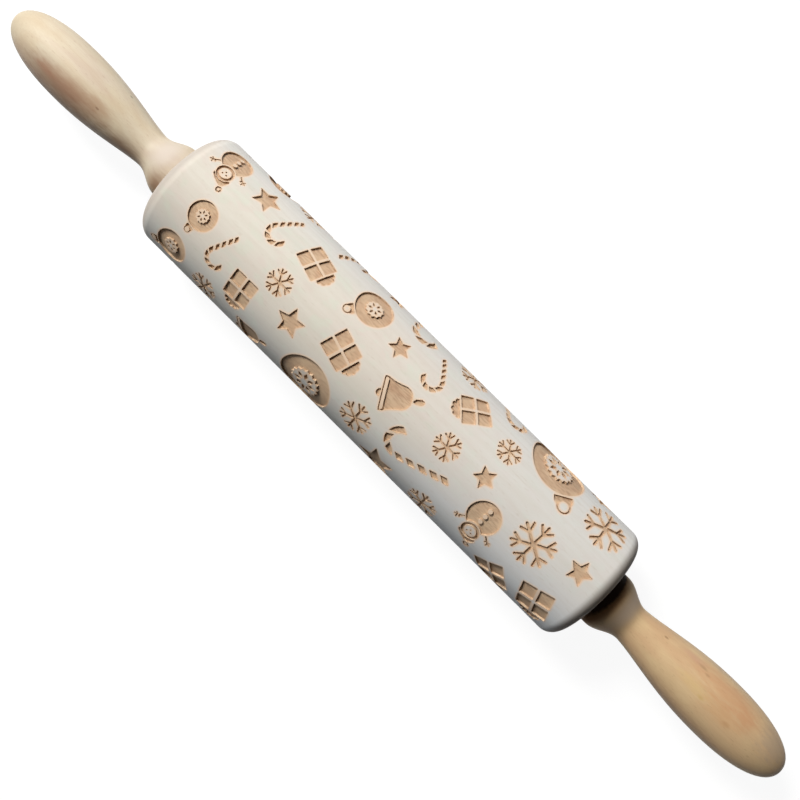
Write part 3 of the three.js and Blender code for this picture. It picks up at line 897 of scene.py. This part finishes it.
MOTIFS = [Motif(Kind[kind], *numbers) for kind, *numbers in (
    ("SNOWMAN", -0.866, 48.3, 0.245, -84),
    ("STAR", -0.703, 42, 0.234, 82),
    ("BAUBLE", -0.803, -9.2, 0.230, -101),
    ("BAUBLE", -0.838, -53.8, 0.275, -150),
    ("CANE", -0.617, 29, 0.491, 240),
    ("CANE", -0.710, -24.5, 0.460, 242),
    ("GIFT", -0.432, 31.5, 0.438, -18),
    ("GIFT", -0.167, -7.5, 0.442, -17),
    ("GIFT", -0.552, -33, 0.430, -90),
    ("GIFT", 0.284, 38, 0.438, -139),
    ("GIFT", 0.853, -49.5, 0.513, -71),
    ("GIFT", 0.696, -66, 0.491, -51),
    ("FLAKE", -0.466, -3.7, 0.208, 0),
    ("FLAKE", 0.298, -3, 0.215, 0),
    ("FLAKE", 0.453, 32, 0.204, 0),
    ("FLAKE", 0.0155, -43.5, 0.272, 90),
    ("FLAKE", 0.369, -64.5, 0.272, 90),
    ("FLAKE", -0.672, -64.5, 0.242, 65),
    ("FLAKE", 0.713, -10, 0.340, 90),
    ("FLAKE", 0.852, 46, 0.362, 90),
    ("STAR", -0.352, -21.5, 0.238, 103),
    ("STAR", -0.037, 29, 0.185, 62),
    ("STAR", 0.454, 1, 0.181, 62),
    ("STAR", 0.879, 0.3, 0.200, 90),
    ("STAR", 0.161, -70.4, 0.340, 109),
    ("BELL", 0.0224, -9, 0.502, 30),
    ("BELL", -0.496, -72, 0.453, 22),
    ("LARGE_BAUBLE", -0.194, -58.7, 0.475, -60),
    ("LARGE_BAUBLE", 0.612, 62.6, 0.491, -55),
    ("BAUBLE", -0.189, 39.5, 0.306, -130),
    ("CANE_OTHER", 0.142, 33.5, 0.475, -60),
    ("STOUT_CANE_OTHER", 0.201, -40.8, 0.868, 201),
    ("STOUT_CANE", -0.0586, 65, 0.830, -92),
    ("STOUT_CANE", -0.345, 90, 0.679, 66),
    ("FLAKE", 0.205, 72, 0.265, 53),
    ("SNOWMAN", 0.543, -24, 0.264, -90),
    ("CANE", 0.371, 66, 0.528, -75),
    ("BAUBLE", -0.728, 84, 0.302, 60),
    ("FLAKE", -0.582, 82, 0.264, 90),
    ("STAR", -0.479, 88, 0.181, 54),
    ("BELL", -0.277, 93.5, 0.377, -115),
    ("STAR", -0.168, 80, 0.208, 90),
    ("STAR", 0.797, 82, 0.208, -90),
    ("STAR", -0.871, 90, 0.208, 20),
    ("GIFT", -0.586, 116, 0.470, 5),
    ("STAR", -0.310, 120, 0.240, 20),
    ("BAUBLE", 0.086, 112, 0.340, 150),
    ("GIFT", 0.440, 110, 0.470, 160),
    ("BELL", 0.871, 108, 0.470, 100),
    ("BELL", -0.862, 127, 0.500, 85),
    ("LARGE_BAUBLE", -0.480, 158, 0.400, -60),
    ("STAR", -0.150, 134, 0.300, 50),
    ("GIFT", 0.240, 156, 0.490, 30),
    ("STAR", 0.660, 146, 0.300, 10),
    ("GIFT", -0.840, 191, 0.500, -110),
    ("BELL", -0.130, 178, 0.520, -10),
    ("LARGE_BAUBLE", 0.520, 190, 0.400, 10),
    ("STAR", 0.870, 168, 0.280, 40),
    ("STAR", -0.520, 204, 0.280, 15),
    ("GIFT", 0.140, 208, 0.490, 80),
    ("BELL", 0.820, -140, 0.500, -100),
    ("LARGE_BAUBLE", -0.790, -124, 0.380, 20),
    ("FLAKE", -0.300, -124, 0.300, 90),
    ("GIFT", 0.440, -118, 0.480, -75),
    ("STAR", -0.480, -102, 0.220, 50),
    ("STAR", 0.090, -112, 0.280, 20),
    ("STAR", -0.819, -90, 0.200, 30),
    ("GIFT", 0.879, -98, 0.440, 165),
)]


class Layer(Enum):
    """What a face of the barrel is, and its material slot."""

    FACE = 0
    FLOOR = 1
    WALL = 2


@dataclass
class Barrel:
    """The turned, engraved and bored barrel, and the two bushes that it turns on."""

    radius: float = 26.37
    length: float = 232.0
    corner_radius: float = 5.8
    pocket_depth: float = 0.8
    bore_radius: float = 5.5
    bush_seat_radius: float = 8.3
    bush_seat_depth: float = 18.3
    flange_seat_radius: float = 12.3
    flange_seat_depth: float = 2.8
    seat_chamfer: float = 0.35
    bush_bore_radius: float = 4.3
    bush_radius: float = 8.0
    bush_length: float = 18.0
    flange_radius: float = 12.0
    flange_thickness: float = 2.5
    bush_edge: float = 0.4
    staves: int = 144
    cross_lines: int = 19
    corner_steps: int = 10
    tolerance: float = 0.001

    def side(self) -> tuple[list[Vector], list[tuple[int, ...]], list[int]]:
        """Builds the engraved side: the unrolled side is cut along every outline, then rolled up.

        Returns:
            Points in metres, faces and each face's layer.
        """
        reach, half_round = self.length / 2 - self.corner_radius, math.pi * self.radius
        points, edges, outlines = [], [], []
        for k in range(self.staves + 1):
            y = -half_round + 2 * half_round * k / self.staves
            edges.append((len(points), len(points) + 1))
            points += [Vector((-reach, y)), Vector((reach, y))]
        for k in range(1, self.cross_lines + 1):
            x = -reach + 2 * reach * k / (self.cross_lines + 1)
            edges.append((len(points), len(points) + 1))
            points += [Vector((x, -half_round)), Vector((x, half_round))]
        for motif in MOTIFS:
            for outline in motif.outlines(self.length / 2, self.radius):
                low, high = min(y for _, y in outline), max(y for _, y in outline)
                for shift in (-2 * half_round, 0.0, 2 * half_round):
                    if low + shift < half_round and high + shift > -half_round:
                        outlines.append(list(range(len(points), len(points) + len(outline))))
                        points += [Vector((x, y + shift)) for x, y in outline]
        cut = delaunay_2d_cdt(points, edges, outlines, 0, SAME_FLAT_POINT, True)
        flat, _, triangles, _, _, inside = cut
        return self.rolled(flat, triangles, [len(set(within)) % 2 == 1 for within in inside])

    def rolled(self, flat: list[Vector], triangles: list[list[int]],
               cut: list[bool]) -> tuple[list[Vector], list[tuple[int, ...]], list[int]]:
        """Rolls the cut side up, lowers the pockets' floors and stands a wall on each of their edges.

        Args:
            flat: Points of the unrolled side.
            triangles: Its triangles.
            cut: Whether each triangle is engraved.

        Returns:
            Points in metres, faces and each face's layer.
        """
        points, faces, layers, numbers, sides = [], [], [], {}, {}

        def number(k: int, low: bool) -> int:
            """Rolls a flat point up, if that isn't done yet.

            Args:
                k: The flat point's number.
                low: Whether it is wanted on the pocket's floor.

            Returns:
                The rolled point's number.
            """
            if (k, low) not in numbers:
                radius = self.radius - (self.pocket_depth if low else 0.0)
                numbers[k, low] = len(points)
                points.append(around(flat[k].x, radius, flat[k].y / self.radius) * MM)
            return numbers[k, low]

        for triangle, low in zip(triangles, cut):
            if abs(sum(flat[k].y for k in triangle) / 3) > math.pi * self.radius:
                continue
            faces.append(tuple(number(k, low) for k in triangle))
            layers.append((Layer.FLOOR if low else Layer.FACE).value)
            for a, b in zip(triangle, triangle[1:] + triangle[:1]):
                sides[a, b] = low
        for (a, b), low in sides.items():
            if not low and sides.get((b, a), False):
                faces.append((number(b, False), number(a, False), number(a, True), number(b, True)))
                layers.append(Layer.WALL.value)
        return points, faces, layers

    def end_profile(self) -> list[Point]:
        """Sets out the right end from the side to the bore.

        Returns:
            (place along the axle, radius) pairs in millimetres.
        """
        half = self.length / 2
        arc = [math.pi / 2 * i / self.corner_steps for i in range(self.corner_steps + 1)]
        corner = [(half - self.corner_radius * (1 - math.sin(a)),
                   self.radius - self.corner_radius * (1 - math.cos(a))) for a in arc]
        return [*corner,
                (half, self.flange_seat_radius + self.seat_chamfer),
                (half - self.seat_chamfer, self.flange_seat_radius),
                (half - self.flange_seat_depth, self.flange_seat_radius),
                (half - self.flange_seat_depth, self.bush_seat_radius),
                (half - self.bush_seat_depth, self.bush_seat_radius),
                (half - self.bush_seat_depth, self.bore_radius)]

    def build(self) -> bpy.types.Object:
        """Builds the barrel and gives its three layers their finishes.

        Returns:
            The object.
        """
        points, faces, layers = self.side()
        right = self.end_profile()
        profile = right + [(-x, radius) for x, radius in reversed(right)]
        ends = ring_faces(len(profile), self.staves, False, len(points))
        points += ring_points(profile, self.staves)
        faces += ends
        layers += [Layer.FACE.value] * len(ends)
        barrel = new_object("barrel_engraved", points, faces, layers)
        for finish in (SandedBeech(), EngravedBeech(), ScorchedBeech()):
            barrel.data.materials.append(finish.material())
        self.round_off(barrel)
        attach(barrel, "barrel")
        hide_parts("barrel")
        return barrel

    def round_off(self, barrel: bpy.types.Object) -> None:
        """Gives the side and the pockets' floors the shading of a true cylinder.

        Args:
            barrel: The barrel's object.
        """
        mesh = barrel.data
        reach = (self.length / 2 - self.corner_radius + self.tolerance) * MM
        depth = (self.radius - self.pocket_depth - self.tolerance) * MM
        normals = [(0.0, 0.0, 0.0)] * len(mesh.loops)
        for face in mesh.polygons:
            on_side = all(abs(mesh.vertices[k].co.x) < reach for k in face.vertices)
            outer = all(math.hypot(*mesh.vertices[k].co.yz) > depth for k in face.vertices)
            if face.material_index != Layer.WALL.value and on_side and outer:
                for loop in face.loop_indices:
                    place = mesh.vertices[mesh.loops[loop].vertex_index].co
                    normals[loop] = Vector((0.0, place.y, place.z)).normalized()[:]
        mesh.normals_split_custom_set(normals)

    def bush(self, side: Side, finish: bpy.types.Material) -> bpy.types.Object:
        """Builds one flanged bush.

        Args:
            side: The end that it sits in.
            finish: Its material.

        Returns:
            The object.
        """
        half = self.length / 2
        inner, seat = half - self.bush_length, half - self.flange_thickness
        profile = [(inner, self.bush_bore_radius), (inner, self.bush_radius - 2 * self.bush_edge),
                   (inner + 2 * self.bush_edge, self.bush_radius), (seat, self.bush_radius),
                   (seat, self.flange_radius), (half - self.bush_edge, self.flange_radius),
                   (half, self.flange_radius - self.bush_edge), (half, self.bush_bore_radius)]
        name = f"bush_{side.name.lower()}"
        piece = turned(f"{name}_moulded", mirrored(profile, side))
        piece.data.materials.append(finish)
        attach(piece, "barrel")
        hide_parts(name)
        return piece


def mirrored(profile: list[Point], side: Side) -> list[Point]:
    """Returns a right-hand profile for the given side, still running the way that faces outwards."""
    return profile if side is Side.RIGHT else [(-x, radius) for x, radius in reversed(profile)]


@dataclass
class Handle:
    """A turned handle: a flared base, a thin neck and a long swelling grip."""

    side: Side
    wood: OiledBeech
    marks: tuple[Mark, ...]
    start: float = 117.5
    length: float = 97.5
    base_radius: float = 12.4
    base_flat: float = 4.6
    neck_radius: float = 8.0
    neck_at: float = 17.6
    swell_radius: float = 13.0
    swell_at: float = 62.9
    swell_power: float = 0.718
    tip_power: float = 2.31
    edge: float = 0.7
    seat_radius: float = 5.3
    seat_depth: float = 14.3
    bore_radius: float = 3.3
    bore_depth: float = 36.3
    edge_steps: int = 4
    body_steps: int = 48
    tip_steps: int = 28

    def radius_at(self, distance: float) -> float:
        """Gives the handle's outside radius.

        Args:
            distance: Millimetres from the base.

        Returns:
            The radius there in millimetres.
        """
        if distance <= self.base_flat:
            return self.base_radius
        if distance <= self.neck_at:
            share = (distance - self.base_flat) / (self.neck_at - self.base_flat)
            fall = (1 - math.cos(math.pi * share)) / 2
            return self.base_radius + (self.neck_radius - self.base_radius) * fall
        if distance <= self.swell_at:
            share = (distance - self.neck_at) / (self.swell_at - self.neck_at)
            rise = (1 - math.cos(math.pi * share ** self.swell_power)) / 2
            return self.neck_radius + (self.swell_radius - self.neck_radius) * rise
        share = (distance - self.swell_at) / (self.length - self.swell_at)
        return self.swell_radius * max(0.0, 1 - share ** self.tip_power) ** (1 / self.tip_power)

    def profile(self) -> list[Point]:
        """Sets out the right-hand handle, from the bottom of its bore round to its tip.

        Returns:
            (place along the axle, radius) pairs in millimetres.
        """
        bevel = [math.pi / 2 * i / self.edge_steps for i in range(self.edge_steps + 1)]
        base = [(self.edge * (1 - math.sin(a)), self.base_radius - self.edge * (1 - math.cos(a)))
                for a in reversed(bevel)]
        body, tip = self.swell_at - self.base_flat, self.length - self.swell_at
        outside = [self.base_flat + body * i / self.body_steps for i in range(self.body_steps + 1)]
        outside += [self.swell_at + tip * math.sin(math.pi / 2 * i / self.tip_steps)
                    for i in range(1, self.tip_steps)]
        points = [(self.bore_depth, 0.0), (self.bore_depth, self.bore_radius),
                  (self.seat_depth, self.bore_radius), (self.seat_depth, self.seat_radius),
                  (0.0, self.seat_radius), *base,
                  *((distance, self.radius_at(distance)) for distance in outside), (self.length, 0.0)]
        return [(self.start + x, radius) for x, radius in points]

    def build(self) -> bpy.types.Object:
        """Builds the handle and its finish with its marks.

        Returns:
            The object.
        """
        name = f"handle_{self.side.name.lower()}"
        piece = turned(f"{name}_turned", mirrored(self.profile(), self.side), closed=False)
        places = [(self.surface_point(mark), mark) for mark in self.marks]
        piece.data.materials.append(self.wood.material(places))
        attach(piece, "handles")
        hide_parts(name)
        return piece

    def surface_point(self, mark: Mark) -> Vector:
        """Returns a mark's point on the surface in the row frame, in millimetres."""
        along = self.side.value * (self.start + mark.along)
        return around(along, self.radius_at(mark.along), math.radians(mark.degrees))


PALE_BEECH = OiledBeech("beech_oiled_pale", "#d9ccb4", "#d4c2a4", "#c8b0a0", end="#b5aa94")
GOLD_BEECH = OiledBeech("beech_oiled_gold", "#dcbf94", "#d4b188", "#cca07c")
LEFT_HANDLE = Handle(Side.LEFT, PALE_BEECH, (
    Mark(9.0, 20.0, 13.0, 1.0, "#c8bcb1", 0.8, 0.9, 0.3),
    Mark(60.0, -42.0, 8.8, 4.3, "#865c44", 0.7, 0.95, 0.3),
    Mark(54.0, -25.0, 7.0, 3.6, "#a2745a", 0.55, 0.95, 0.5),
    Mark(68.0, -31.0, 3.4, 2.4, "#a5765c", 0.45, 0.95, 0.9),
    # Painted shade: the next four marks darken the -Y flank, from the base along the neck to the edge of the
    # grip.
    Mark(52.0, -75.0, 9.0, 4.2, "#8a6850", 0.6, 0.8),
    Mark(26.0, -58.0, 7.0, 2.3, "#7e5a42", 0.7, 0.9, 0.5),
    Mark(24.0, -84.0, 6.0, 4.0, "#6e4f3c", 0.55, 0.9, 0.3),
    Mark(3.5, -46.0, 10.0, 0.85, "#8f684f", 0.75, 0.95, 0.3),
    Mark(42.0, -14.0, 5.0, 2.2, "#b08a6c", 0.4, 0.95, 0.9),
    Mark(41.5, -18.0, 0.55, 2.0, "#8a6a55", 0.7, 0.5),
    Mark(37.5, 61.0, 0.5, 2.2, "#6e6a50", 0.6, 0.5),
    Mark(60.0, 160.0, 4.0, 3.0, "#b08a78", 0.5)))
RIGHT_HANDLE = Handle(Side.RIGHT, GOLD_BEECH, (
    Mark(11.0, 20.0, 16.0, 0.34, "#d2c0ac", 0.7, 0.9, 0.1),
    # Painted shadow edge: a warm brown band where the barrel's shadow on the base fades out.
    Mark(3.0, -10.0, 24.0, 0.21, "#8a5222", 0.7, 0.6, 0.1),
    # Painted shadow: the near-black ring at the base is the barrel's cast shadow, painted on.
    Mark(0.5, 25.0, 18.5, 0.225, "#1c1007", 1.0, 0.35, 0.1),
    Mark(62.0, 0.0, 6.0, 2.4, "#cf9868", 0.35, 0.95),
    Mark(60.0, 34.0, 8.0, 3.2, "#cc966e", 0.55, 0.95),
    Mark(70.0, 24.0, 5.0, 2.4, "#c98c62", 0.3, 0.95, 0.8),
    Mark(42.0, 45.0, 2.4, 3.4, "#c79a80", 0.5, 0.9, 0.8),
    Mark(86.0, 30.0, 10.0, 1.2, "#b09c88", 0.5, 0.9),
    Mark(50.0, -60.0, 8.0, 4.6, "#b8906e", 0.4, 0.95, 0.4),
    # Painted shade: a darker band along the -Y edge of the grip.
    Mark(50.0, -78.0, 8.0, 5.0, "#987a60", 0.6, 0.9),
    Mark(60.0, 92.0, 8.0, 6.0, "#b09c88", 0.6, 0.9),
    Mark(29.0, 39.0, 0.7, 2.4, "#8f6743", 0.6, 0.6),
    Mark(46.5, 40.0, 1.2, 2.6, "#9a7a54", 0.4, 0.9),
    Mark(49.0, 33.0, 0.8, 2.0, "#9a7a54", 0.35, 0.9),
    Mark(66.0, -8.0, 1.2, 2.2, "#b8895c", 0.4, 0.8),
    Mark(47.0, 2.0, 3.6, 3.0, "#dcbd78", 0.3, 0.95, 0.9),
    Mark(52.5, -6.0, 1.2, 2.0, "#c4a45c", 0.4, 0.9)))


@dataclass
class RunningGear:
    """What the barrel turns between: thrust washers, the axle rod and the handles' threaded inserts."""

    washer_start: float = 116.3
    washer_thickness: float = 0.9
    washer_radius: float = 9.5
    washer_bore: float = 4.3
    washer_edge: float = 0.15

    def washer(self, side: Side, finish: bpy.types.Material) -> bpy.types.Object:
        """Builds one stamped washer.

        Args:
            side: The end that it sits at.
            finish: Its material.

        Returns:
            The object.
        """
        start, end, edge = self.washer_start, self.washer_start + self.washer_thickness, self.washer_edge
        bore, radius = self.washer_bore, self.washer_radius
        profile = [(start, bore), (start, radius - edge), (start + edge, radius),
                   (end - edge, radius), (end, radius - edge), (end, bore)]
        name = f"thrust_washer_{side.name.lower()}"
        piece = turned(f"{name}_stamped", mirrored(profile, side))
        piece.data.materials.append(finish)
        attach(piece, "handles")
        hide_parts(name)
        return piece

    def dress_inner(self) -> None:
        """Gives the rod and the inserts, whose CAD shapes are right, their metals."""
        steel, brass = DRAWN_STEEL.material(), TURNED_BRASS.material()
        for name, metal in (("axle_rod", steel), ("insert_left", brass), ("insert_right", brass)):
            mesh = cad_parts[name].data
            mesh.materials.clear()
            mesh.materials.append(metal)


@dataclass
class Studio:
    """A pale floor, soft lamps and the camera at the photograph's place.

    The camera's angles are in radians, and the room's two levels are at the ends of its span along X.
    """

    floor_height: float = -26.372
    floor_size: float = 3000.0
    paper_glow: float = 1.1
    glow_share: float = 0.84
    room_span: Point = (-0.25, -1.0)
    room_levels: Point = (0.003, 1.1)
    camera_place: tuple[float, float, float] = (29.5, 0.0, 400.0)
    yaw: float = -0.0531
    pitch: float = -0.0031
    roll: float = -0.7802
    lens: float = 44.96
    sensor_width: float = 36.0
    near_clip: float = 0.01

    def looked_at(self, tree: bpy.types.NodeTree) -> Socket:
        """Adds a switch between what is looked at and what lights the pin.

        Args:
            tree: The node tree.

        Returns:
            1 for the camera and for reflections, 0 for light that falls on the pin.
        """
        rays = add(tree, "ShaderNodeLightPath").outputs
        seen = rays["Is Camera Ray"]
        for other in ("Is Glossy Ray", "Is Transmission Ray"):
            seen = add(tree, "ShaderNodeMath", {0: seen, 1: rays[other]}, operation="MAXIMUM").outputs[0]
        return seen

    def floor(self) -> None:
        """Lays the floor: white to the camera and in reflections, where it keeps the pin's shadow."""
        half = self.floor_size / 2
        corners = [Vector((x, y, self.floor_height)) * MM
                   for x, y in ((-half, -half), (half, -half), (half, half), (-half, half))]
        mesh = bpy.data.meshes.new("floor")
        mesh.from_pydata(corners, [], [(0, 1, 2, 3)])
        floor = placed("floor", mesh)
        material = bpy.data.materials.new("paper_white")
        tree = emptied(material)
        paper = add(tree, "ShaderNodeBsdfDiffuse", {"Color": linear("#f4f4f4")}).outputs[0]
        shine = {"Color": linear("#ffffff"), "Strength": self.paper_glow}
        glow = add(tree, "ShaderNodeEmission", shine).outputs[0]
        lit = add(tree, "ShaderNodeMixShader", {0: self.glow_share, 1: paper, 2: glow}).outputs[0]
        # What falls on the pin from below is the light of a dim floor.
        dim = add(tree, "ShaderNodeBsdfDiffuse", {"Color": linear("#3e3e40")}).outputs[0]
        shown = add(tree, "ShaderNodeMixShader", {0: self.looked_at(tree), 1: dim, 2: lit})
        add(tree, "ShaderNodeOutputMaterial", {"Surface": shown.outputs[0]})
        mesh.materials.append(material)

    def lamp(self, name: str, place: tuple[float, float, float], size: float, power: float,
             code: str) -> None:
        """Hangs a square soft lamp that faces the pin.

        Args:
            name: The lamp's name.
            place: Its place in metres.
            size: Its side in metres.
            power: Its power in watts.
            code: Its colour as #rrggbb.
        """
        light = bpy.data.lights.new(name, "AREA")
        light.size, light.energy, light.color = size, power, linear(code)[:3]
        lamp = placed(name, light)
        lamp.location = place
        lamp.rotation_euler = (-Vector(place)).to_track_quat("-Z", "Y").to_euler()

    def light(self) -> None:
        """Lights the pin from over its left end, in a room that is bright at that end and dim elsewhere."""
        self.lamp("key", (-1.26, 0.42, 1.48), 0.6, 42.5, "#fffcf6")
        self.lamp("fill", (-0.4, 0.72, 0.06), 0.5, 2.6, "#eef3ff")
        world = bpy.data.worlds.new("room")
        tree = emptied(world)
        way = add(tree, "ShaderNodeSeparateXYZ", {0: add(tree, "ShaderNodeTexCoord").outputs["Generated"]})
        spread = {"Value": way.outputs["X"], "From Min": self.room_span[0], "From Max": self.room_span[1],
                  "To Min": self.room_levels[0], "To Max": self.room_levels[1]}
        level = add(tree, "ShaderNodeMapRange", spread).outputs[0]
        room = add(tree, "ShaderNodeBackground", {"Color": linear("#e8eef8"), "Strength": level}).outputs[0]
        white = add(tree, "ShaderNodeBackground", {"Color": linear("#ffffff"), "Strength": 1.0}).outputs[0]
        shown = add(tree, "ShaderNodeMixShader", {0: self.looked_at(tree), 1: room, 2: white})
        add(tree, "ShaderNodeOutputWorld", {"Surface": shown.outputs[0]})
        bpy.context.scene.world = world

    def camera(self) -> None:
        """Sets the camera where the photograph was taken from."""
        forward = Vector((math.sin(self.yaw) * math.cos(self.pitch), math.sin(self.pitch),
                          -math.cos(self.yaw) * math.cos(self.pitch)))
        level = (Vector((1, 0, 0)) - forward * forward.x).normalized()
        under = forward.cross(level)
        across = math.cos(self.roll) * level + math.sin(self.roll) * under
        down = -math.sin(self.roll) * level + math.cos(self.roll) * under
        data = bpy.data.cameras.new("camera")
        data.lens, data.sensor_width, data.clip_start = self.lens, self.sensor_width, self.near_clip
        camera = placed("camera", data)
        turn = Matrix((across, -down, -forward)).transposed().to_4x4()
        camera.matrix_world = Matrix.Translation(Vector(self.camera_place) * MM) @ turn
        bpy.context.scene.camera = camera

    def build(self) -> None:
        """Sets up the whole studio."""
        self.floor()
        self.light()
        self.camera()
        bpy.context.scene.view_settings.view_transform = "Standard"


def report(piece: bpy.types.Object) -> None:
    """Logs a finished piece and its face count."""
    LOG.info("%s: %d faces", piece.name, len(piece.data.polygons))


def main() -> None:
    """Builds the pin and its studio in order."""
    logging.basicConfig(level=logging.INFO, format="%(message)s")
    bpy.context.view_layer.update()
    Studio().build()
    barrel = Barrel()
    report(barrel.build())
    nylon = MouldedNylon().material()
    gear, stamped = RunningGear(), STAMPED_STEEL.material()
    for side in Side:
        report(barrel.bush(side, nylon))
        report(gear.washer(side, stamped))
    gear.dress_inner()
    for handle in (LEFT_HANDLE, RIGHT_HANDLE):
        report(handle.build())


if __name__ == "__main__":
    main()
